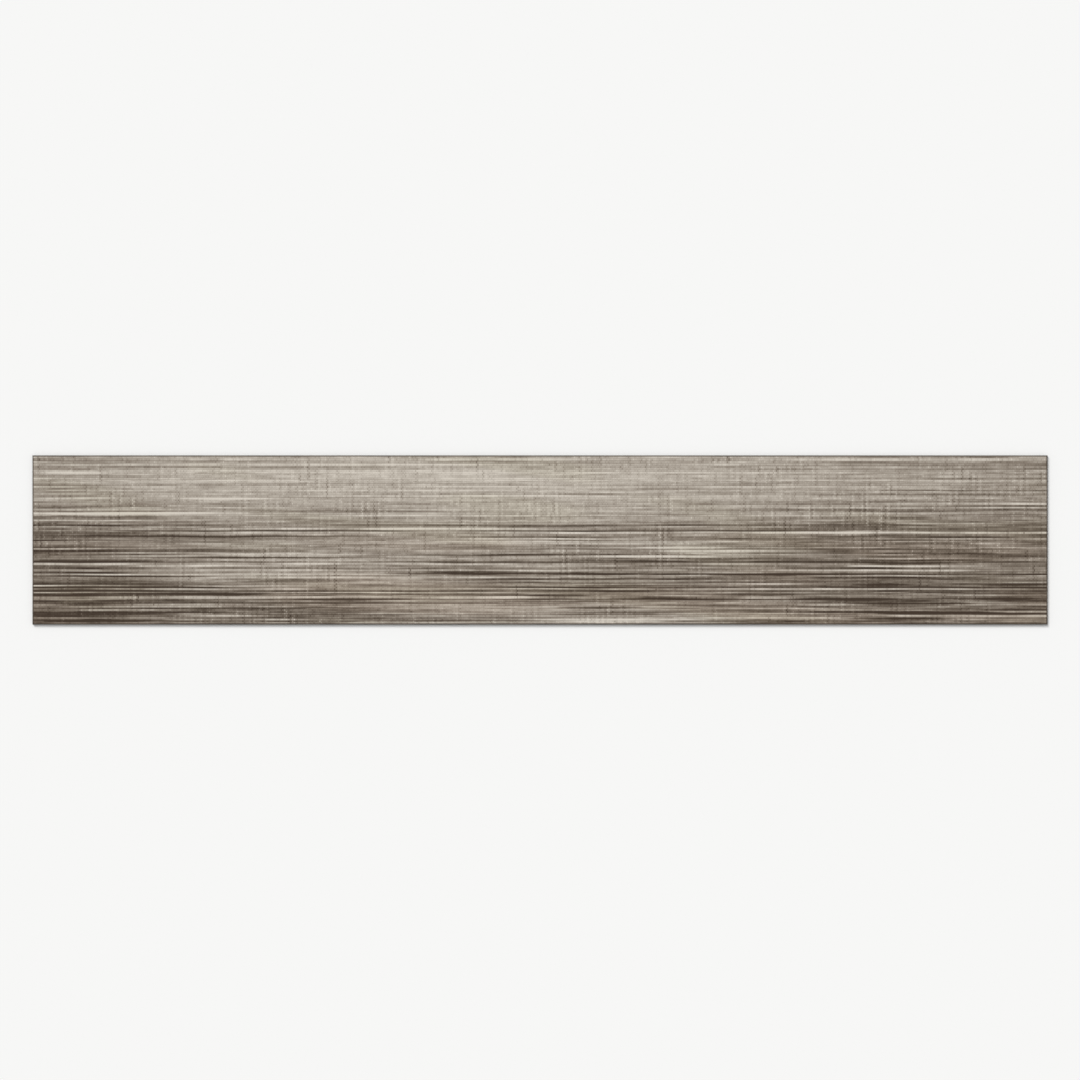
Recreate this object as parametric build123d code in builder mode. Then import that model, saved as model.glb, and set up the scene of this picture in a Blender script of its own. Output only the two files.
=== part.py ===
"""A vinyl floor tile in plank form: one flat, filled-vinyl plank with a micro-bevel round its walking face.

The plank lies on its back, as it does on a floor. X runs along its length, Y across its width and Z up
through its thickness. The origin is the middle of the back face. All sizes are in millimetres.
"""

import os

from build123d import *

# Driving dimensions of the plank
plank_length = 914.4  # 36 inches, along X
plank_width = 152.4  # 6 inches, along Y
plank_thickness = 3.2  # 1/8 inch, walking face to back face

# Edges of the plank
bevel_run = 1.0  # width of the micro-bevel, measured in from the edge across the walking face
bevel_drop = 0.5  # depth of the micro-bevel, measured down from the walking face
back_edge_radius = 0.2  # easing that the cutting die leaves round the back face

with BuildPart() as plank:
    # The sheet, cut square to its plan size
    with BuildSketch(Plane.XY):
        Rectangle(plank_length, plank_width)
    extrude(amount=plank_thickness)

    # The micro-bevel, wider than it is deep, on all four edges of the walking face
    walking_face = plank.faces().sort_by(Axis.Z)[-1]
    chamfer(
        walking_face.edges(),
        length=bevel_run,
        length2=bevel_drop,
        reference=walking_face,
    )

    # The four edges of the back face, eased where the die came through
    back_face = plank.faces().sort_by(Axis.Z)[0]
    fillet(back_face.edges(), radius=back_edge_radius)

plank.part.label = "plank"

os.makedirs("parts", exist_ok=True)
export_step(plank.part, "parts/plank.step")

print("plank", plank.part.bounding_box().size, "volume", round(plank.part.volume), "mm3")
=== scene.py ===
# %% [markdown]
# # A vinyl floor plank with a woven look
#
# The real plank is one flat sheet of filled vinyl. A printed film under a clear wear layer gives it the look
# of coarse cloth, and a roller presses the threads of that cloth into the face. This lesson makes the sheet
# again as one mesh, presses the threads into it, prints it with nodes, and sets it on a pale floor.
#
# The CAD model is loaded first. It fixes the size and the place of everything, so the script reads its sizes
# and its box from there.

# %% Load the frame and read the plank's sizes
import itertools
import math

import bmesh
import bpy
import numpy as np
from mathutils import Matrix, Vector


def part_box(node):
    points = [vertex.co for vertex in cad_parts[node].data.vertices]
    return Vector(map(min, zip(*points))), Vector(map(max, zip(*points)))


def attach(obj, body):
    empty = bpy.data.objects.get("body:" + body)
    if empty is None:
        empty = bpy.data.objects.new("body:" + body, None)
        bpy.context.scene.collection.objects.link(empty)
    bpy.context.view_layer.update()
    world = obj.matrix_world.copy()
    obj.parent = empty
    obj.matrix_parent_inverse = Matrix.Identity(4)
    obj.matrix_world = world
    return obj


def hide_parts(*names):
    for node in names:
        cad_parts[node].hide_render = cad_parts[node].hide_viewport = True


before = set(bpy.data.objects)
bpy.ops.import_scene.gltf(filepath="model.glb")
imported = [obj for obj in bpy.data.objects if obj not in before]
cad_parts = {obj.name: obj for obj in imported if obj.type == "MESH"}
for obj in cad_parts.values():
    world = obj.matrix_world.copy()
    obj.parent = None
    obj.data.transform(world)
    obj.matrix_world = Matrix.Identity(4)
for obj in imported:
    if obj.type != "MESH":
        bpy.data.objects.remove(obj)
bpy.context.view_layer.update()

MM = 0.001  # one millimetre, in Blender's metres

low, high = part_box("plank")
plank_length, plank_width, plank_thickness = (high - low) / MM
half_length = plank_length / 2
half_width = plank_width / 2
print(f"plank {plank_length:.1f} x {plank_width:.1f} x {plank_thickness:.1f} mm")

# %% [markdown]
# ## The camera
#
# The plank is seen straight from above, so the camera looks down the Z axis with the plank's length across
# the picture. An orthographic camera would do, but a long lens from far away looks the same from here and
# still gives a natural picture from every other side.

# %% Put the camera over the plank
LENS = 100.0  # focal length, in mm
SENSOR = 36.0  # width of the picture behind the lens, in mm
SHARE_OF_FRAME = 0.94  # how much of the picture's width the plank takes up

camera_data = bpy.data.cameras.new("overhead_camera")
camera_data.lens = LENS
camera_data.sensor_width = SENSOR
camera = bpy.data.objects.new("overhead_camera", camera_data)
bpy.context.scene.collection.objects.link(camera)
bpy.context.scene.camera = camera

camera_height = plank_length / SHARE_OF_FRAME * LENS / SENSOR * MM + high.z
camera.location = (0.0, 0.0, camera_height)
print(f"camera {camera_height:.2f} m up, looking straight down")

# %% [markdown]
# ## Threads side by side
#
# The cloth that the face imitates has threads that run along the plank. A weaver calls them the weft. Some
# are thin and some are thick, and each has a round back with a groove on either side. The press and the
# print show the same threads, so they are laid out once and used for both.
#
# Bump in the material could fake them, but the face would still be flat when it is seen along the floor. So
# each thread gets four rows of points of its own, which is enough to round its back.

# %% Lay out the threads
BEVEL_RUN = 1.0  # width of the micro-bevel, in mm
BEVEL_DROP = 0.5  # depth of the micro-bevel, in mm
THREADS = 90  # across the walking face
UNEVENNESS = 0.25  # spread of the threads' widths
ROWS_PER_THREAD = 4
COLUMNS = 232  # steps along the plank, where threads change slowly
SEED = 36  # starts the dice, so that every run throws the same numbers

face_half_length = half_length - BEVEL_RUN
face_half_width = half_width - BEVEL_RUN
dice = np.random.default_rng(SEED)
thread_widths = dice.lognormal(0.0, UNEVENNESS, THREADS)
thread_widths *= 2 * face_half_width / thread_widths.sum()
thread_edges = np.concatenate(([0.0], np.cumsum(thread_widths))) - face_half_width
thread_middles = (thread_edges[:-1] + thread_edges[1:]) / 2

rows = THREADS * ROWS_PER_THREAD
row_in_threads = np.arange(rows + 1) / ROWS_PER_THREAD  # whole numbers at the threads' edges
across = np.interp(row_in_threads, np.arange(THREADS + 1), thread_edges)
along = np.linspace(-face_half_length, face_half_length, COLUMNS + 1)
crown = np.abs(np.sin(math.pi * row_in_threads))  # 0 in a groove, 1 on a thread's back
print(f"{THREADS} threads, {thread_widths.min():.2f} to {thread_widths.max():.2f} mm wide")

# %% [markdown]
# ## Slubs and gaps
#
# Cloth of this kind is woven from uneven yarn. Here and there a thread swells and turns pale, which is a
# slub, and in other places two threads part and leave a dark line, which is a gap. Both thin out and fade at
# their ends.
#
# Noise could give streaks too, but a slub with two clear ends needs to be drawn: each one is a soft line
# with a start, an end, a place across the plank and a strength. A slub sits on the back of the nearest
# thread, and a gap in the nearest groove.

# %% Draw one soft line
TIP = 0.4  # how thin a line's tip is, against its middle
LINE_THICKNESS = 1.25  # from the middle of a line to where it has faded to a third, in mm


def draw_line(field, start, end, place, strength, thickness=LINE_THICKNESS):
    """Adds a line to the field: from start to end along the plank, at a place across it, in mm."""
    taper = np.clip(1 - ((2 * along - start - end) / (end - start)) ** 2, 0, 1)
    thick = thickness * (TIP + (1 - TIP) * taper)
    away = (across[:, None] - place) / thick
    field += strength * np.sqrt(taper) * np.exp(-away ** 2)


def nearest(places, wanted):
    """The one of these places that is nearest to the wanted one."""
    return places[np.abs(places - wanted).argmin()]


print(f"a line fades over {LINE_THICKNESS} mm in its middle, and over {TIP * LINE_THICKNESS} mm at a tip")

# %% The main slubs and gaps, one by one
# Each line: start and end along the plank, place across it (all in mm), strength from 0 to 1
main_gaps = [
    (-455, -135, 2.7, 0.7),
    (-475, -335, -19.6, 0.8),
    (-275, -160, -37.0, 0.6),
    (-480, -285, -42.0, 1.0),
    (-385, -240, -48.0, 0.9),
    (-405, -290, -54.0, 0.6),
    (-225, -115, -52.5, 0.7),
    (-480, -260, -66.0, 0.7),
    (-470, -330, -72.0, 0.8),
    (-60, 95, 12.5, 0.4),
    (-145, 95, -30.3, 1.0),
    (150, 240, -31.0, 0.6),
    (-15, 45, -51.6, 0.7),
    (60, 180, -52.0, 0.7),
    (15, 95, -61.0, 0.8),
    (280, 335, -40.0, 0.8),
    (395, 470, -40.0, 0.7),
    (225, 325, -52.5, 0.9),
    (275, 395, -57.6, 1.0),
    (285, 420, -66.0, 1.0),
    (275, 375, -71.0, 0.9),
]
main_slubs = [
    (-455, -385, 60.8, 0.8),
    (-325, -240, 37.8, 0.9),
    (-470, -280, 23.0, 0.9),
    (-170, -25, 10.3, 0.9),
    (-330, -150, -12.7, 0.8),
    (85, 175, -6.3, 1.0),
    (85, 265, -9.5, 1.0),
    (385, 445, -3.0, 1.0),
    (275, 420, -22.5, 0.9),
    (265, 297, 5.8, 0.9),
    (345, 418, -54.7, 0.7),
    (-265, -200, -44.9, 0.8),
    (0, 155, -57.6, 0.6),
    (15, 115, -73.0, 0.8),
    (-335, -260, -69.0, 0.7),
]

weave = np.zeros((rows + 1, COLUMNS + 1))  # below 0 in gaps, above 0 on slubs
for start, end, place, strength in main_gaps:
    draw_line(weave, start, end, nearest(thread_edges, place), -strength)
for start, end, place, strength in main_slubs:
    draw_line(weave, start, end, nearest(thread_middles, place), strength)
print(f"drew {len(main_gaps)} main gaps and {len(main_slubs)} main slubs")

# %% Fill in with many small ones
SMALL_LINES = 520
USUAL_REACH = 60.0  # half the length of a usual small line, in mm
REACH_SPREAD = 0.6  # spread of their lengths
WEAKEST, STRONGEST = 0.12, 0.5
THINNEST, THICKEST = 0.55, 1.1  # mm
SIDES = (-40.0, 40.0)  # places where the near side and the far side of the plank begin, in mm
STRENGTH_ON_SIDES = (1.0, 0.48)
SLUBS_ON_SIDES = (0.35, 0.55)  # share of lines that are slubs

for number in range(SMALL_LINES):
    middle = dice.uniform(-half_length, half_length)
    reach = dice.lognormal(math.log(USUAL_REACH), REACH_SPREAD)
    place = dice.uniform(-face_half_width, face_half_width)
    strength = dice.uniform(WEAKEST, STRONGEST) * np.interp(place, SIDES, STRENGTH_ON_SIDES)
    thickness = dice.uniform(THINNEST, THICKEST)
    is_slub = dice.random() < np.interp(place, SIDES, SLUBS_ON_SIDES)
    place = nearest(thread_middles if is_slub else thread_edges, place)
    draw_line(weave, middle - reach, middle + reach, place, strength if is_slub else -strength, thickness)

weave = np.clip(weave, -1, 1)
print(f"{SMALL_LINES} small lines, weave from {weave.min():.2f} to {weave.max():.2f}")

# %% [markdown]
# ## The sheet
#
# The real sheet is pressed flat, cut by a die and bevelled round its walking face. The mesh starts as a flat
# grid for that face, with its rows slid to where the threads lie. Its rim is then extruded ring by ring: out
# and down for the micro-bevel, straight down for the cut edge, and round the small radius that the die
# leaves at the back. One fill closes the back.
#
# A cube with bevelled edges would be quicker, but it has no points on its face to press the threads into.

# %% Start with a grid for the walking face
HALF_GRID = 0.5  # half the side of a grid that is one unit wide, before it is stretched

sheet = bmesh.new()
bmesh.ops.create_grid(sheet, x_segments=COLUMNS, y_segments=rows, size=HALF_GRID)
for point in sheet.verts:
    grid_row = round((point.co.y + HALF_GRID) * rows)
    point.co = (point.co.x * 2 * face_half_length * MM, across[grid_row] * MM, plank_thickness * MM)
print(f"grid of {len(sheet.faces)} faces")

# %% Extrude its rim, ring by ring, and close the back
BACK_EDGE_RADIUS = 0.2  # easing round the back, in mm
EASING_STEPS = 3
WALKING_FACE, BEVEL, CUT_EDGE, BACK = range(4)  # one material slot for each region


def rim_edges():
    """The sheet's open edges."""
    return [edge for edge in sheet.edges if edge.is_boundary]


def add_ring(old_inset, new_inset, old_z, new_z, region):
    """Extrudes the rim to a new ring, set in from the plank's outline and at a new height, in mm."""
    grown = bmesh.ops.extrude_edge_only(sheet, edges=rim_edges())["geom"]
    ring = [part for part in grown if isinstance(part, bmesh.types.BMVert)]
    stretch_x = (half_length - new_inset) / (half_length - old_inset)
    stretch_y = (half_width - new_inset) / (half_width - old_inset)
    bmesh.ops.scale(sheet, vec=(stretch_x, stretch_y, 1), verts=ring)
    bmesh.ops.translate(sheet, vec=(0, 0, (new_z - old_z) * MM), verts=ring)
    for part in grown:
        if isinstance(part, bmesh.types.BMFace):
            part.material_index = region


bevel_foot = plank_thickness - BEVEL_DROP
add_ring(BEVEL_RUN, 0.0, plank_thickness, bevel_foot, BEVEL)
add_ring(0.0, 0.0, bevel_foot, BACK_EDGE_RADIUS, CUT_EDGE)
inset, ring_z = 0.0, BACK_EDGE_RADIUS
for step in range(1, EASING_STEPS + 1):
    turn = math.radians(90 * step / EASING_STEPS)
    next_inset = BACK_EDGE_RADIUS * (1 - math.cos(turn))
    next_z = BACK_EDGE_RADIUS * (1 - math.sin(turn))
    add_ring(inset, next_inset, ring_z, next_z, CUT_EDGE)
    inset, ring_z = next_inset, next_z

filled = bmesh.ops.triangle_fill(sheet, use_beauty=True, use_dissolve=False, edges=rim_edges())["geom"]
for part in filled:
    if isinstance(part, bmesh.types.BMFace):
        part.material_index = BACK
bmesh.ops.recalc_face_normals(sheet, faces=sheet.faces[:])
print(f"closed sheet of {len(sheet.faces)} faces, {len(rim_edges())} open edges")

# %% Keep its edges crisp and make the object
CREASE = math.radians(25)  # edges sharper than this stay sharp

for edge in sheet.edges:
    edge.smooth = edge.calc_face_angle() < CREASE
for face in sheet.faces:
    face.smooth = True

plank_mesh = bpy.data.meshes.new("vinyl_plank")
sheet.to_mesh(plank_mesh)
sheet.free()
plank = bpy.data.objects.new("vinyl_plank", plank_mesh)
bpy.context.scene.collection.objects.link(plank)
plank_mesh.calc_loop_triangles()
print(f"sheet of {len(plank_mesh.loop_triangles)} triangles")

# %% [markdown]
# ## Pressing the threads in
#
# The press only pushes down: the proudest slubs stay at the sheet's full thickness and everything else is
# pressed below them, the grooves further and the gaps deepest. So each point of the walking face moves down
# by an amount that the threads give. Threads in cloth are never quite straight either, so the points also
# sway a little to the side, but not at the rim, where the bevel begins.
#
# A Displace modifier with a texture could do this, but it would not know which thread a point belongs to.
# The print has to know the threads too. Each point keeps how high it lies on its thread and whether a slub
# or a gap passes there, and each face keeps the number of its thread. The ink reads these later.

# %% Find the thread of each face, while the threads are still straight
faces = len(plank_mesh.polygons)
centres = np.empty(faces * 3)
plank_mesh.polygons.foreach_get("center", centres)
centres = centres.reshape(-1, 3)
thread_number = np.searchsorted(thread_edges, centres[:, 1] / MM).astype(float)
print(f"faces on threads {thread_number.min():.0f} to {thread_number.max():.0f}")

# %% Work out the sway
SWAY = 0.3  # how far threads stray to either side, in mm
SWAY_WIDTH = 43.0  # how far apart two threads are that sway alike, in mm
waves_along = [(370.0, 0.45), (190.0, 0.35), (83.0, 0.2)]  # length in mm, and share, which shifts it too
STILL_SIDES, STILL_ENDS = 6, 20  # powers: the higher, the nearer to the rim the sway begins

sway = np.zeros_like(weave)
for wave_length, share in waves_along:
    turns = along / wave_length + across[:, None] / SWAY_WIDTH + share
    sway += SWAY * share * np.sin(2 * math.pi * turns)
sway *= 1 - (across[:, None] / face_half_width) ** STILL_SIDES
sway *= 1 - (along / face_half_length) ** STILL_ENDS
print(f"threads sway by up to {np.abs(sway).max():.2f} mm")

# %% Move the points of the walking face
SLUB_HEIGHT = 0.06  # how far the proudest slub stands above the other threads, in mm
GROOVE_DEPTH = 0.12  # how far a groove lies below the threads beside it, in mm
GAP_DEPTH = 0.10  # how much deeper a gap is pressed, in mm

pressed = SLUB_HEIGHT * (1 - np.maximum(weave, 0)) + GAP_DEPTH * np.maximum(-weave, 0)
pressed += GROOVE_DEPTH * (1 - crown[:, None])
pressed -= pressed.min()

places = np.empty(len(plank_mesh.vertices) * 3)
plank_mesh.vertices.foreach_get("co", places)
places = places.reshape(-1, 3)
on_face = places[:, 2] > (plank_thickness - BEVEL_DROP / 2) * MM
column = np.rint(np.interp(places[:, 0] / MM, along, np.arange(COLUMNS + 1))).astype(int)
row = np.rint(np.interp(places[:, 1] / MM, across, np.arange(rows + 1))).astype(int)
places[:, 1] += np.where(on_face, sway[row, column], 0) * MM
places[:, 2] -= np.where(on_face, pressed[row, column], 0) * MM
plank_mesh.vertices.foreach_set("co", places.ravel())
plank_mesh.update()
print(f"{on_face.sum()} points pressed, by up to {pressed.max():.2f} mm")

# %% Keep the threads on the mesh
plank_mesh.attributes.new("crown", "FLOAT", "POINT").data.foreach_set("value", crown[row])
plank_mesh.attributes.new("slub_or_gap", "FLOAT", "POINT").data.foreach_set("value", weave[row, column])
plank_mesh.attributes.new("thread_number", "FLOAT", "FACE").data.foreach_set("value", thread_number)
print("the mesh keeps", [layer.name for layer in plank_mesh.attributes if not layer.is_internal])

# %% [markdown]
# ## A map for baking
#
# When the plank is exported, its print is baked to a square picture. An automatic unwrap would squeeze the
# long walking face into it, so the map is given its boxes one by one: the face in two halves, one above the
# other, then the back, and then the bevel and the cut edge as narrow strips.

# %% Sort the corners of the faces by where they are
region = np.empty(faces, dtype=int)
plank_mesh.polygons.foreach_get("material_index", region)
corners = np.empty(faces, dtype=int)
plank_mesh.polygons.foreach_get("loop_total", corners)
facing = np.empty(faces * 3)
plank_mesh.polygons.foreach_get("normal", facing)
corner_point = np.empty(len(plank_mesh.loops), dtype=int)
plank_mesh.loops.foreach_get("vertex_index", corner_point)

corner_region = np.repeat(region, corners)
corner_facing = np.repeat(facing.reshape(-1, 3), corners, axis=0)
corner_right = np.repeat(centres[:, 0] > 0, corners)
on_strip = (corner_region == BEVEL) | (corner_region == CUT_EDGE)
on_side = on_strip & (np.abs(corner_facing[:, 1]) > np.abs(corner_facing[:, 0]))
on_end = on_strip & ~on_side
at = places[corner_point] / MM
share_x = at[:, 0] / plank_length + 0.5  # 0 at the left end, 1 at the right end
share_y = at[:, 1] / plank_width + 0.5
share_z = at[:, 2] / plank_thickness
print(f"{on_side.sum()} corners on the long sides, {on_end.sum()} on the ends")

# %% Lay them out on the map
MAP_GAP = 0.004  # between two boxes of the map; all of these are shares of its side
HALF_FACE_TALL = 0.39
BACK_TALL = 0.14
STRIP_TALL = 0.012
END_WIDE = 0.2

bake_map = np.zeros((len(corner_point), 2))


def lay(where, u, v, left, bottom, wide, tall):
    """Lays these corners in one box of the map."""
    bake_map[where, 0] = left + wide * u[where]
    bake_map[where, 1] = bottom + tall * v[where]


full = 1 - 2 * MAP_GAP
shelf = MAP_GAP
for is_right in (False, True):
    lay((corner_region == WALKING_FACE) & (corner_right == is_right),
        2 * share_x - is_right, share_y, MAP_GAP, shelf, full, HALF_FACE_TALL)
    shelf += HALF_FACE_TALL + MAP_GAP
lay(corner_region == BACK, share_x, share_y, MAP_GAP, shelf, full, BACK_TALL)
shelf += BACK_TALL + MAP_GAP
for is_far in (False, True):
    lay(on_side & ((corner_facing[:, 1] > 0) == is_far), share_x, share_z, MAP_GAP, shelf, full, STRIP_TALL)
    shelf += STRIP_TALL + MAP_GAP
for is_right in (False, True):
    lay(on_end & ((corner_facing[:, 0] > 0) == is_right), share_y, share_z,
        MAP_GAP + is_right * (END_WIDE + MAP_GAP), shelf, END_WIDE, STRIP_TALL)

plank_mesh.uv_layers.new(name="OFBake").data.foreach_set("uv", bake_map.ravel())
print(f"bake map filled up to {bake_map.max(axis=0).round(3)}")

# %% [markdown]
# ## Maths in a material
#
# A print of many layers takes dozens of Math nodes. They are easier to read as a formula, so a small class
# wraps a socket and turns each Python operator into the node that does it. One method adds any other node.

# %% A value that builds its own nodes
class Value:
    """One output socket of a node tree, with Python's operators as Math nodes."""

    def __init__(self, tree, socket=None):
        self.tree = tree
        self.socket = socket

    def node(self, kind, settings, sockets, output=0):
        """Adds a node: its settings, then its sockets' values or links. Gives one of its outputs."""
        made = self.tree.nodes.new(kind)
        for name, setting in settings.items():
            if name == "stops":
                set_stops(made.color_ramp, setting)
            else:
                setattr(made, name, setting)
        for name, value in sockets.items():
            if isinstance(value, Value):
                self.tree.links.new(value.socket, made.inputs[name])
            else:
                made.inputs[name].default_value = value
        return Value(self.tree, made.outputs[output])

    def feed(self, socket):
        """Links the value to a socket of a shader."""
        self.tree.links.new(self.socket, socket)

    def math(self, operation, *values):
        """Adds a Math node."""
        return self.node("ShaderNodeMath", {"operation": operation}, dict(enumerate(values)))

    def __add__(self, other):
        return self.math("ADD", self, other)

    def __radd__(self, other):
        return self.math("ADD", other, self)

    def __sub__(self, other):
        return self.math("SUBTRACT", self, other)

    def __rsub__(self, other):
        return self.math("SUBTRACT", other, self)

    def __mul__(self, other):
        return self.math("MULTIPLY", self, other)

    def __rmul__(self, other):
        return self.math("MULTIPLY", other, self)

    def __truediv__(self, other):
        return self.math("DIVIDE", self, other)

    def __rtruediv__(self, other):
        return self.math("DIVIDE", other, self)

    def __pow__(self, other):
        return self.math("POWER", self, other)

    def __rpow__(self, other):
        return self.math("POWER", other, self)


def set_stops(ramp, stops):
    """Gives a colour ramp its stops, as pairs of place and colour."""
    while len(ramp.elements) < len(stops):
        ramp.elements.new(1.0)
    for element, (place, colour) in zip(ramp.elements, stops):
        element.position = place
        element.color = colour


print("Value:", Value.__doc__)

# %% Colours and new finishes
MIX_A, MIX_B, MIX_OUT = 6, 7, 2  # a Mix node's sockets for colours


def paint(red, green, blue):
    """A colour as a paint chart gives it, 0 to 255, made linear for the shader by the sRGB curve."""
    def linear(part):
        part /= 255
        return part / 12.92 if part <= 0.04045 else ((part + 0.055) / 1.055) ** 2.4
    return (linear(red), linear(green), linear(blue), 1.0)


def blend(share, under, over, way="MIX"):
    """Mixes a share of one colour over another."""
    return share.node("ShaderNodeMix", {"data_type": "RGBA", "blend_type": way},
                      {0: share, MIX_A: under, MIX_B: over}, MIX_OUT)


def new_finish(name, roughness, specular):
    """A new material: gives it, its shader, and the place on the plank as x, y and z in millimetres."""
    finish = bpy.data.materials.new(name)
    finish.use_nodes = True
    shader = finish.node_tree.nodes["Principled BSDF"]
    shader.inputs["Roughness"].default_value = roughness
    shader.inputs["Specular IOR Level"].default_value = specular
    place = Value(finish.node_tree).node("ShaderNodeTexCoord", {}, {}, "Object")
    axes = [place.node("ShaderNodeSeparateXYZ", {}, {0: place}, axis) / MM for axis in "XYZ"]
    return finish, shader, axes


def add_relief(shader, height, depth):
    """Bumps a finish: the height is about 1 either way, and the depth is in mm."""
    bump = height.node("ShaderNodeBump", {}, {"Strength": 1.0, "Distance": depth * MM, "Height": height})
    bump.feed(shader.inputs["Normal"])


print("paint(128, 128, 128) is", [round(part, 3) for part in paint(128, 128, 128)])

# %% [markdown]
# ## Clouds, threads, steps and spots
#
# A few small helpers make the whole print. Clouds are soft noise, stretched to a length and a width. A
# thread's own tone is noise too, but each thread has its own row of it, so that neighbours differ and their
# edges stay crisp. A wave goes up and down once a turn, a rise is a soft step from 0 to 1, and a spot and a
# band are soft patches with a place and a size. All of them work in millimetres.

# %% Helpers that make noise
NOISE_MIDDLE = 0.5  # a Noise node's usual value
NOISE_GAIN = 7.0  # lifts the noise's narrow spread to about 1 either way
SLANT = 3.0  # shifts the clouds along the plank, so that the noise's cells don't line up
THREAD_STEP = 13.7  # how far apart two neighbouring threads are in the noise
THREAD_SHIFT = 0.61  # and how far their lengths are shifted
SLICE_STEP = 5.3  # how far apart two uses of the noise are
slices = itertools.count(1)


def noise_at(first, second, slice_number=None):
    """Smooth noise on a grid of its own, from about -1 to 1, in a new slice of it or a given one."""
    depth = SLICE_STEP * (slice_number or next(slices))
    where = first.node("ShaderNodeCombineXYZ", {}, {0: first, 1: second, 2: depth})
    noise = where.node("ShaderNodeTexNoise", {}, {"Vector": where, "Scale": 1.0, "Detail": 0.0})
    return (noise - NOISE_MIDDLE) * NOISE_GAIN


def clouds(x, y, length, width):
    """Soft clouds of about this length and width."""
    return noise_at((x + SLANT * y) / length, y / width)


def own_tone(number, place, stretches, unlike=0.0):
    """A tone that each thread has to itself, by its number. It changes with the place along the thread, over
    stretches of several lengths, each with its share. A thread can be made unlike the next, by 0 to 1."""
    tone = 0.0
    for length, share in stretches:
        slice_number = next(slices)
        for thread, part in ((number, share), (number + 1.0, -unlike * share)):
            if part:
                yarn = noise_at(place / length + thread * THREAD_SHIFT, thread * THREAD_STEP, slice_number)
                tone = tone + part * yarn
    return tone


print("noise:", [helper.__name__ for helper in (noise_at, clouds, own_tone)])

# %% Helpers that make shapes
def wave(turns):
    """Goes from 0 to 1 and back once a turn, and is 1 at every whole turn."""
    return 0.5 + 0.5 * turns.math("COSINE", turns * (2 * math.pi))


def rise(value, start, end):
    """A soft step: 0 at start, 1 at end."""
    return value.node("ShaderNodeMapRange", {"interpolation_type": "SMOOTHSTEP"},
                      {"Value": value, "From Min": start, "From Max": end})


def spot(x, y, middle_x, middle_y, reach_x, reach_y):
    """A soft patch: 1 in its middle, 0 at its edge."""
    away = ((x - middle_x) / reach_x) ** 2.0 + ((y - middle_y) / reach_y) ** 2.0
    return rise(away, 1.0, 0.0)


def band(y, middle, reach):
    """A soft band along the whole plank: 1 in its middle, 0 at its edges."""
    return rise(((y - middle) / reach) ** 2.0, 1.0, 0.0)


def kept(value, name):
    """Reads what the mesh keeps under this name."""
    return value.node("ShaderNodeAttribute", {"attribute_name": name}, {}, "Fac")


print("shapes:", [helper.__name__ for helper in (wave, rise, spot, band, kept)])

# %% [markdown]
# ## The printed face
#
# The print is a greige: a grey that leans to beige, from umber in the gaps to flax on the slubs. A picture
# of cloth could be wrapped over the face, but it would blur close up, so nodes work the print out instead.
#
# Its lightness comes first, as one number, and a colour ramp then turns it into ink. That keeps the hue
# steady while dozens of layers change the light and dark. The layers go from broad to fine: a pale far side
# and dark ends, single threads with their slubs and gaps, the crossing threads and their stitches, and last
# the fibres.

# %% Broad light and dark
MIDDLE_TONE = 0.533  # lightness of the plain cloth, from 0 for black to 1 for white
FAR_SIDE = 0.135  # how much paler the far side is
FAR_SIDE_RISE = (4.0, 40.0)  # places across the plank where that begins and is full, in mm
NEAR_SIDE = -0.06  # how much darker the near side is
NEAR_SIDE_RISE = (-8.0, -66.0)
ENDS = -0.10  # how much darker both ends are
PALEST_X = -40.0  # the place along the plank between them, in mm
CLOUDINESS = 0.02  # how much lightness drifts everywhere
CLOUD_SIZE = (330.0, 42.0)  # length and width of the drifts, in mm
# Each patch: its middle along and across the plank, its reach along and across (mm), and its lightness
tone_patches = [
    (-410, 66, 110, 30, -0.045),
    (-60, 15, 130, 24, 0.055),
    (105, -4, 70, 24, 0.03),
    (-240, -22, 190, 34, 0.06),
    (-457, -35, 130, 60, -0.06),
    (-250, -66, 190, 26, -0.035),
    (105, -44, 110, 30, -0.05),
    (-20, -70, 220, 22, 0.09),
    (130, -60, 110, 20, 0.045),
    (310, -22, 160, 28, -0.05),
    (75, 19, 110, 12, 0.05),
    (10, -16, 280, 9, -0.065),
    (-60, -5, 110, 8, 0.04),
    (-110, -40, 120, 10, 0.045),
    (300, -40, 210, 10, -0.045),
    (-335, -28, 60, 9, 0.045),
    (-420, -6, 110, 12, 0.04),
]
# Each band: its place across the plank, its reach across (mm), and its lightness
tone_bands = [
    (55, 12, 0.025),
    (31, 8, -0.02),
    (20, 8, 0.02),
    (8, 9, -0.03),
    (-28, 9, 0.02),
    (-64, 12, 0.055),
]

print_face, face_shader, (x, y, z) = new_finish("printed_walking_face", roughness=0.65, specular=0.2)
tone = MIDDLE_TONE + FAR_SIDE * rise(y, *FAR_SIDE_RISE) + NEAR_SIDE * rise(y, *NEAR_SIDE_RISE)
tone = tone + ENDS * ((x - PALEST_X) / half_length) ** 2.0 + CLOUDINESS * clouds(x, y, *CLOUD_SIZE)
for middle_x, middle_y, reach_x, reach_y, lightness in tone_patches:
    tone = tone + lightness * spot(x, y, middle_x, middle_y, reach_x, reach_y)
for middle_y, reach_y, lightness in tone_bands:
    tone = tone + lightness * band(y, middle_y, reach_y)
print(f"{len(tone_patches)} patches and {len(tone_bands)} bands: {len(print_face.node_tree.nodes)} nodes")

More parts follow.
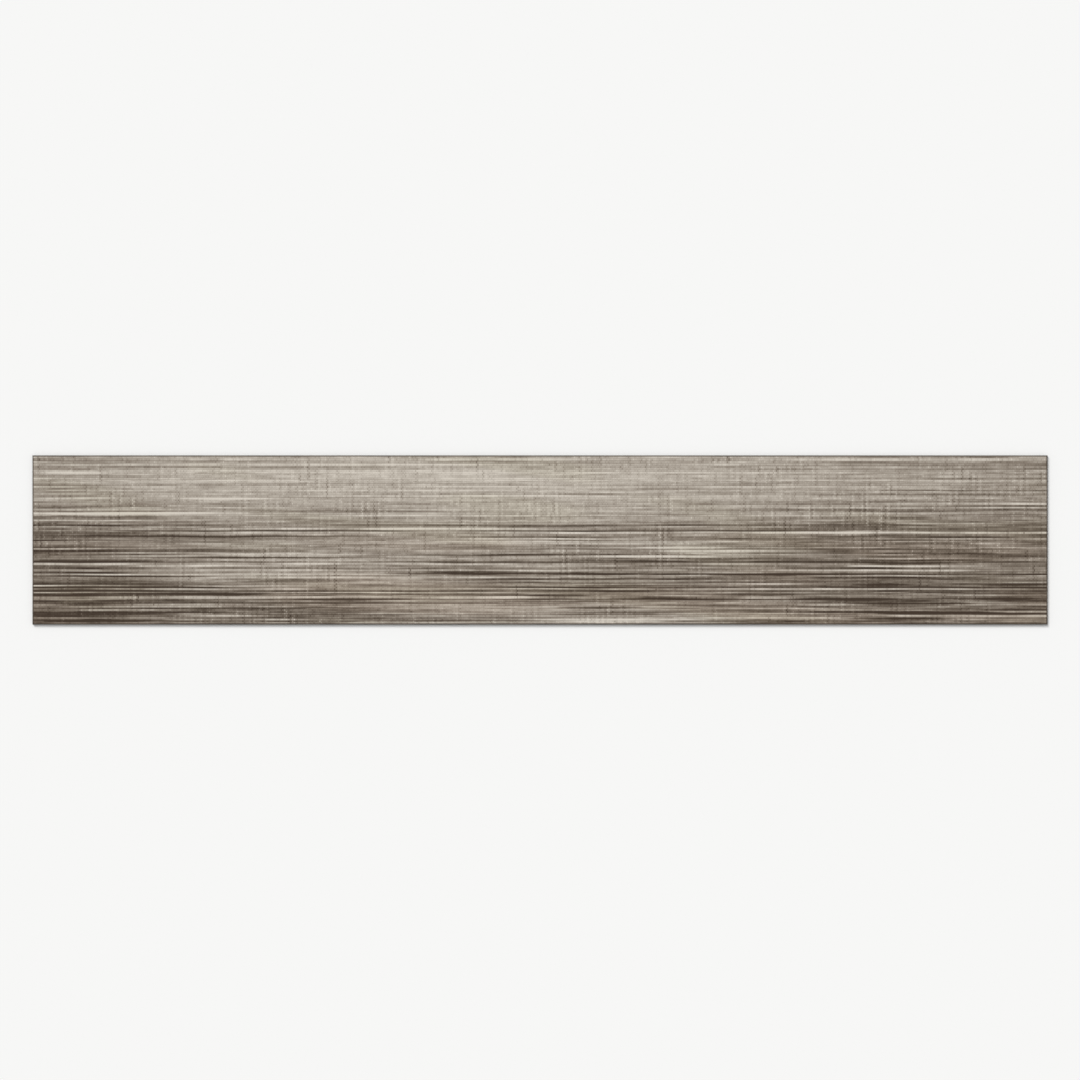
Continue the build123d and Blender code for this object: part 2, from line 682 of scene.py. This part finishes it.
# %% Threads along the plank
CALM = 0.68  # how much less pale cloth varies
CALM_RISE = (0.46, 0.66)  # lightness where that begins and is full
WEFT_TONE = 0.122  # how much threads differ
WEFT_UNLIKE = 0.5  # how unlike the next thread each one is
weft_stretches = [(900.0, 0.6), (210.0, 0.55), (46.0, 0.38)]  # lengths in mm, and their shares
SLUB_TONE = 0.27  # how much paler a full slub is
GAP_TONE = 0.36  # how much darker a full gap is
# painted shade and light: a groove is printed darker and a thread's back paler, as shade and light fall on
# round threads
GROOVE_PAINTED_SHADE = 0.04  # how much darker a groove is than a thread's back
MEAN_CROWN = 0.64  # taken off, so that grooves and backs together leave the lightness as it was
FLECK_TONE = 0.027  # how much a thread changes over short stretches
fleck_stretches = [(17.0, 0.8), (8.0, 0.5)]

calm = 1.0 - CALM * rise(tone, *CALM_RISE)
weft_number = kept(x, "thread_number")
back = kept(x, "crown")
line = kept(x, "slub_or_gap")
tone = tone + calm * WEFT_TONE * own_tone(weft_number, x, weft_stretches, WEFT_UNLIKE)
tone = tone + SLUB_TONE * x.math("MAXIMUM", line, 0.0) + GAP_TONE * x.math("MINIMUM", line, 0.0)
# painted shade in the grooves and painted light on the threads' backs
tone = tone + GROOVE_PAINTED_SHADE * (back - MEAN_CROWN)
tone = tone + FLECK_TONE * own_tone(weft_number, x, fleck_stretches)
print(f"with the threads along the plank: {len(print_face.node_tree.nodes)} nodes")

# %% [markdown]
# ## Crossing threads and stitches
#
# A second set of threads, the warp, crosses the first. Each passes under one thread and over the next, and
# where it lies on top it shows as a small stitch. Some thirty thousand stitches are too many to model, so
# they are printed, and a little bump stands them out.
#
# From afar a stitch is too small to see, but a crossing thread that is darker or paler than those beside it
# shows as a fine line. So each one has a tone of its own, which is strong on its stitches and faint between
# them.

# %% Tones of the crossing threads
WARP_PITCH = 2.8  # spacing of the crossing threads that show from afar, in mm
WARP_WANDER = 0.3  # how far they wander, against that spacing
WANDER_SIZE = (14.0, 160.0)  # how far along and across the plank they wander alike, in mm
WARP_TONE = 0.046  # how much they differ
WARP_UNLIKE = 0.75  # how unlike the next one each is
warp_stretches = [(3.5, 0.4), (13.0, 0.5), (40.0, 0.45)]  # lengths in mm, and their shares
LADDER_TONE = 0.005  # how much paler all of them are
FAINTEST, CLEARER = 0.6, 0.45  # how clear they are everywhere, and how much more in patches
PATCH_SIZE = (60.0, 30.0)  # length and width of the patches, in mm
PATCH_RISE = (-0.4, 1.3)  # noise where a patch begins and is full
NEAR_FADE = 0.18  # how much fainter they are on the near side
NEAR_FADE_RISE = (20.0, -60.0)  # places across the plank where that begins and is full, in mm
TICK_TONE = -0.11  # how much darker one is in a few short stretches
tick_stretches = [(22.0, 1.0)]
TICK_RISE = (1.75, 2.4)  # noise where such a stretch begins and is full

warp_turns = x / WARP_PITCH + WARP_WANDER * noise_at(x / WANDER_SIZE[0], y / WANDER_SIZE[1])
warp_number = x.math("FLOOR", warp_turns)
warp_back = 1.0 - wave(warp_turns)
warp = own_tone(warp_number, y, warp_stretches, WARP_UNLIKE)
patch = FAINTEST + CLEARER * rise(noise_at(x / PATCH_SIZE[0], y / PATCH_SIZE[1]), *PATCH_RISE)
patch = patch - NEAR_FADE * rise(y, *NEAR_FADE_RISE)
tick = rise(own_tone(warp_number, y, tick_stretches), *TICK_RISE)
warp_tone = patch * (WARP_TONE * warp + LADDER_TONE) + TICK_TONE * tick
print(f"with the crossing threads: {len(print_face.node_tree.nodes)} nodes")

# %% Where a fine thread is on top
FINE_THREADS = 2.0  # fine threads to each crossing thread that shows from afar
STITCH_ENDS = (0.1, 0.6)  # how high on the thread below a stitch begins and is full
THROW_SLICE = 0.5  # picks one set of throws

fine_turns = FINE_THREADS * warp_turns
fine_number = x.math("FLOOR", fine_turns)
off_middle = x.math("ABSOLUTE", x.math("FRACT", fine_turns) - 0.5)  # 0 on a fine thread, 0.5 beside it
turn_about = x.math("FRACT", (fine_number + weft_number) / 2.0)  # 0 and 0.5 by turns
over = x.math("LESS_THAN", turn_about, 0.25)  # every second crossing
on_top = over * rise(back, *STITCH_ENDS)
crossing = x.node("ShaderNodeCombineXYZ", {}, {0: fine_number, 1: weft_number, 2: THROW_SLICE})
throw = x.node("ShaderNodeTexWhiteNoise", {}, {"Vector": crossing})  # from 0 to 1, one for each crossing
print(f"{plank_length / WARP_PITCH * FINE_THREADS * THREADS / 2:.0f} stitches")

# %% Stitches and knots
WIDTH_SPREAD = 0.12  # how much wider some stitches are, against the fine threads' spacing
STITCH_SIDE = (0.23, 0.11)  # how far off its middle a stitch ends and is full
SHADE_SIDE = (0.34, 0.22)  # and the shade beside it
SHOWN_BELOW = 0.45  # how much of a crossing thread's tone shows through the threads above it
SHOWN_ON_TOP = 1.8  # and how much on a stitch, where it lies on top
STITCH_TONE = 0.07  # how much stitches differ
EVEN_THROW = 0.4  # a throw above this makes a stitch paler, below it darker
SHADE_TONE = -0.07  # how dark it is beside a stitch
KNOT_TONE = -0.22  # how dark a knot is
KNOT_SHARE = 0.0004  # how many crossings are dark knots
KNOT_SIDE = (0.5, 0.2)  # how far off a fine thread's middle a knot ends and is full

beside = off_middle - WIDTH_SPREAD * throw
stitch = on_top * rise(beside, *STITCH_SIDE)
shade = on_top * rise(beside, *SHADE_SIDE) - stitch
knot = x.math("LESS_THAN", throw, KNOT_SHARE) * rise(off_middle, *KNOT_SIDE) * back
tone = tone + warp_tone * (SHOWN_BELOW * warp_back + SHOWN_ON_TOP * stitch)
tone = tone + STITCH_TONE * stitch * (throw - EVEN_THROW) + SHADE_TONE * shade + KNOT_TONE * knot
print(f"with the stitches: {len(print_face.node_tree.nodes)} nodes")

# %% Fibres
FIBRE_TONE = 0.016  # how much fibres differ
FIBRE_SIZE = (4.0, 0.14)  # length and width of a fibre, in mm

fibre = clouds(x, y, *FIBRE_SIZE)
tone = tone + FIBRE_TONE * fibre
print(f"with the fibres: {len(print_face.node_tree.nodes)} nodes")

# %% [markdown]
# ## Ink and sheen
#
# Printers mix such a greige from a few inks, so its hue drifts a little: to olive in some places, and to
# brown on the near side. A ramp gives the lightness its ink, and two weak tints are multiplied over it.
# Mixing whole colours in clouds would be simpler, but then the streaks would lose their contrast.
#
# The wear layer is matt. It is smoothest on the backs of the threads, where feet would polish it.

# %% Ink
# Each stop: a lightness, and the ink for it
ink_stops = [
    (0.20, paint(60, 48, 37)),
    (0.36, paint(101, 90, 78)),
    (0.51, paint(139, 128, 116)),
    (0.66, paint(177, 168, 156)),
    (0.81, paint(212, 204, 192)),
]
OLIVE_TINT = (0.995, 1.0, 0.97, 1.0)
OLIVE_SIZE = (130.0, 30.0)  # length and width of the tint's clouds, in mm
OLIVE_RISE = (0.3, 1.6)  # noise where the tint begins and is full
BROWN_TINT = (1.0, 0.968, 0.945, 1.0)
BROWN_SIZE = (170.0, 26.0)
BROWN_RISE = (-0.4, 1.2)
BROWN_SIDE = (20.0, -20.0)  # places across the plank where brown begins and is full, in mm

ink = tone.node("ShaderNodeValToRGB", {"stops": ink_stops}, {0: tone})
olive = rise(clouds(x, y, *OLIVE_SIZE), *OLIVE_RISE)
brown = rise(clouds(x, y, *BROWN_SIZE), *BROWN_RISE) * rise(y, *BROWN_SIDE)
ink = blend(olive, ink, OLIVE_TINT, "MULTIPLY")
ink = blend(brown, ink, BROWN_TINT, "MULTIPLY")
ink.feed(face_shader.inputs["Base Color"])
print(f"{len(ink_stops)} inks and 2 tints")

# %% Sheen and fine relief of the face
GROOVE_ROUGHNESS = 0.75
BACK_POLISH = 0.12  # how much smoother a thread's back is than its grooves
SLUB_POLISH = 0.05  # and how much smoother a slub is
STITCH_HEIGHT = 0.07  # how far a stitch stands out of the thread below it, in mm
SHADE_DEPTH = 0.4  # how far the shade lies below that thread, against a stitch's height
FIBRE_HEIGHT = 0.05  # how far a fibre stands out, against a stitch's height

face_roughness = GROOVE_ROUGHNESS - BACK_POLISH * back - SLUB_POLISH * line
face_roughness.feed(face_shader.inputs["Roughness"])
add_relief(face_shader, stitch - SHADE_DEPTH * shade + FIBRE_HEIGHT * fibre, STITCH_HEIGHT)
print(f"printed face: {len(print_face.node_tree.nodes)} nodes")

# %% [markdown]
# ## Bevel, cut edge and back
#
# The micro-bevel is painted dark, which draws a fine outline round the plank. The cut edge shows the sheet's
# make-up: the clear wear layer, the pale print film, the dark filled core and the backing. The back is plain
# grey vinyl with the fine grain of the roller that carried it.
#
# One finish could tell these regions apart by their height and slope, but its formula would be hard to read.
# So each region of the mesh has a slot of its own, and each slot a short finish.

# %% The painted bevel
BRUSH_SIZE = (26.0, 0.5)  # length and height of the brush marks, in mm
BRUSH_RISE = (-1.2, 1.2)  # noise where the paint is darkest and palest
DARK_UMBER, PALE_UMBER = paint(62, 54, 46), paint(88, 78, 68)
CUTTER_SIZE = (0.5, 6.0)  # length and height of the cutter's marks, in mm
CUTTER_DEPTH = 0.01  # mm


def edge_noise(x, y, z, length, height):
    """Noise round the plank's edge, where x + y runs along a side and an end alike."""
    return noise_at((x + y) / length, z / height)


painted_bevel, bevel_shader, (x, y, z) = new_finish("painted_bevel", roughness=0.6, specular=0.2)
brush = edge_noise(x, y, z, *BRUSH_SIZE)
bevel_paint = blend(rise(brush, *BRUSH_RISE), DARK_UMBER, PALE_UMBER)
bevel_paint.feed(bevel_shader.inputs["Base Color"])
cutter_marks = edge_noise(x, y, z, *CUTTER_SIZE)
add_relief(bevel_shader, cutter_marks, CUTTER_DEPTH)
print(f"painted bevel: {len(painted_bevel.node_tree.nodes)} nodes")

# %% The cut edge
BACKING_TOP = 0.55  # heights where the sheet's make-up changes, in mm
FILM_BOTTOM = 2.32
FILM_TOP = 2.44
SOFT = 0.04  # how far either way it changes, in mm
FINE_FILLER_SIZE = (0.22, 0.2)  # length and height of the filler's specks, in mm
COARSE_FILLER_SIZE = (1.7, 0.5)
FILLER_SHARE = 0.6  # how much each size of speck adds
FILLER_RISE = (-1.0, 1.6)  # noise where the core is darkest and palest
LAYER_UNEVENNESS = 0.015  # mm
DARK_CORE, PALE_CORE = paint(70, 68, 65), paint(96, 93, 89)
BACKING, FILM, WEAR_LAYER = paint(112, 109, 104), paint(164, 155, 142), paint(104, 96, 86)
DIE_MARK_SIZE = (0.7, 9.0)  # length and height of the marks that the die leaves, in mm
DIE_MARK_DEPTH = 0.02  # mm
FILLER_HEIGHT = 0.5  # against a die mark's depth

cut_edge, cut_shader, (x, y, z) = new_finish("cut_edge", roughness=0.7, specular=0.2)
filler = FILLER_SHARE * edge_noise(x, y, z, *FINE_FILLER_SIZE)
filler = filler + FILLER_SHARE * edge_noise(x, y, z, *COARSE_FILLER_SIZE)
uneven_z = z + LAYER_UNEVENNESS * filler
edge_paint = blend(rise(filler, *FILLER_RISE), DARK_CORE, PALE_CORE)
edge_paint = blend(rise(uneven_z, BACKING_TOP + SOFT, BACKING_TOP - SOFT), edge_paint, BACKING)
edge_paint = blend(rise(uneven_z, FILM_BOTTOM - SOFT, FILM_BOTTOM + SOFT), edge_paint, FILM)
edge_paint = blend(rise(uneven_z, FILM_TOP - SOFT, FILM_TOP + SOFT), edge_paint, WEAR_LAYER)
edge_paint.feed(cut_shader.inputs["Base Color"])
die_marks = edge_noise(x, y, z, *DIE_MARK_SIZE)
add_relief(cut_shader, die_marks + FILLER_HEIGHT * filler, DIE_MARK_DEPTH)
print(f"cut edge: {len(cut_edge.node_tree.nodes)} nodes")

# %% The back
GRAIN_SIZE = (1.6, 1.2)  # length and width of the roller's grain, in mm
GRAIN_DEPTH = 0.03  # mm
STAIN_SIZE = (90.0, 60.0)  # length and width of the clouds in the grey, in mm
STAIN_SHARE, GRAIN_SHARE = 0.3, 0.8
GREY_RISE = (-2.2, 2.2)  # noise where the grey is darkest and palest
DARK_GREY, PALE_GREY = paint(98, 96, 93), paint(126, 123, 119)

plain_back, back_shader, (x, y, z) = new_finish("plain_back", roughness=0.65, specular=0.25)
grain = noise_at(x / GRAIN_SIZE[0], y / GRAIN_SIZE[1])
back_tone = rise(STAIN_SHARE * clouds(x, y, *STAIN_SIZE) + GRAIN_SHARE * grain, *GREY_RISE)
grey = blend(back_tone, DARK_GREY, PALE_GREY)
grey.feed(back_shader.inputs["Base Color"])
add_relief(back_shader, grain, GRAIN_DEPTH)
print(f"plain back: {len(plain_back.node_tree.nodes)} nodes")

# %% Give the plank its finishes
for finish in (print_face, painted_bevel, cut_edge, plain_back):
    plank_mesh.materials.append(finish)
print("finishes:", [finish.name for finish in plank_mesh.materials])

# %% [markdown]
# ## Floor and light
#
# The plank lies on a pale floor under plain soft light. A broad key light from the far left rakes over the
# threads just enough to show them, and the world fills the rest from all round. Their levels add up to 1, so
# that a colour renders about as it is written.

# %% The floor
FLOOR_SIZE = 12.0  # metres
FLOOR_DROP = 0.02 * MM  # keeps the floor just clear of the plank's back
floor_paint = paint(247, 247, 246)

ground = bmesh.new()
bmesh.ops.create_grid(ground, x_segments=1, y_segments=1, size=FLOOR_SIZE / 2)
bmesh.ops.translate(ground, vec=(0, 0, low.z - FLOOR_DROP), verts=ground.verts[:])
floor_mesh = bpy.data.meshes.new("pale_floor")
ground.to_mesh(floor_mesh)
ground.free()
floor = bpy.data.objects.new("pale_floor", floor_mesh)
bpy.context.scene.collection.objects.link(floor)

pale_paint, floor_shader, (x, y, z) = new_finish("pale_paint", roughness=0.9, specular=0.0)
floor_shader.inputs["Base Color"].default_value = floor_paint
floor_mesh.materials.append(pale_paint)
print(f"floor {FLOOR_SIZE:.0f} m wide")

# %% The key light and the world
FILL_LEVEL = 0.5  # the world's share of the light
KEY_LEVEL = 0.5  # the key light's share, on a face that looks straight up
KEY_TILT = math.radians(45)  # how far the key leans from straight above
KEY_TURN = math.radians(35)  # the way it comes from: the far left
KEY_SOFTNESS = math.radians(30)  # how wide the light is in the sky

key_data = bpy.data.lights.new("soft_key", "SUN")
key_data.energy = KEY_LEVEL * math.pi / math.cos(KEY_TILT)
key_data.angle = KEY_SOFTNESS
key = bpy.data.objects.new("soft_key", key_data)
key.rotation_euler = (-KEY_TILT, 0.0, KEY_TURN)
bpy.context.scene.collection.objects.link(key)

world = bpy.data.worlds.new("studio")
world.use_nodes = True
bpy.context.scene.world = world
backdrop = world.node_tree.nodes["Background"]
rays = Value(world.node_tree)
# The backdrop looks as pale as the floor, but it lights the plank at the fill's level
seen = rays.node("ShaderNodeLightPath", {}, {}, "Is Camera Ray")
for kind in ("Is Glossy Ray", "Is Transmission Ray"):
    seen = seen.math("MAXIMUM", seen, rays.node("ShaderNodeLightPath", {}, {}, kind))
fill_light = (FILL_LEVEL, FILL_LEVEL, FILL_LEVEL, 1.0)
blend(seen, fill_light, floor_paint).feed(backdrop.inputs["Color"])
bpy.context.scene.view_settings.view_transform = "Standard"
print(f"fill {FILL_LEVEL}, key {KEY_LEVEL}")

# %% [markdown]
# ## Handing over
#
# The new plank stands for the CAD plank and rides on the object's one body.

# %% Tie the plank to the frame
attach(plank, "root")
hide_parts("plank")
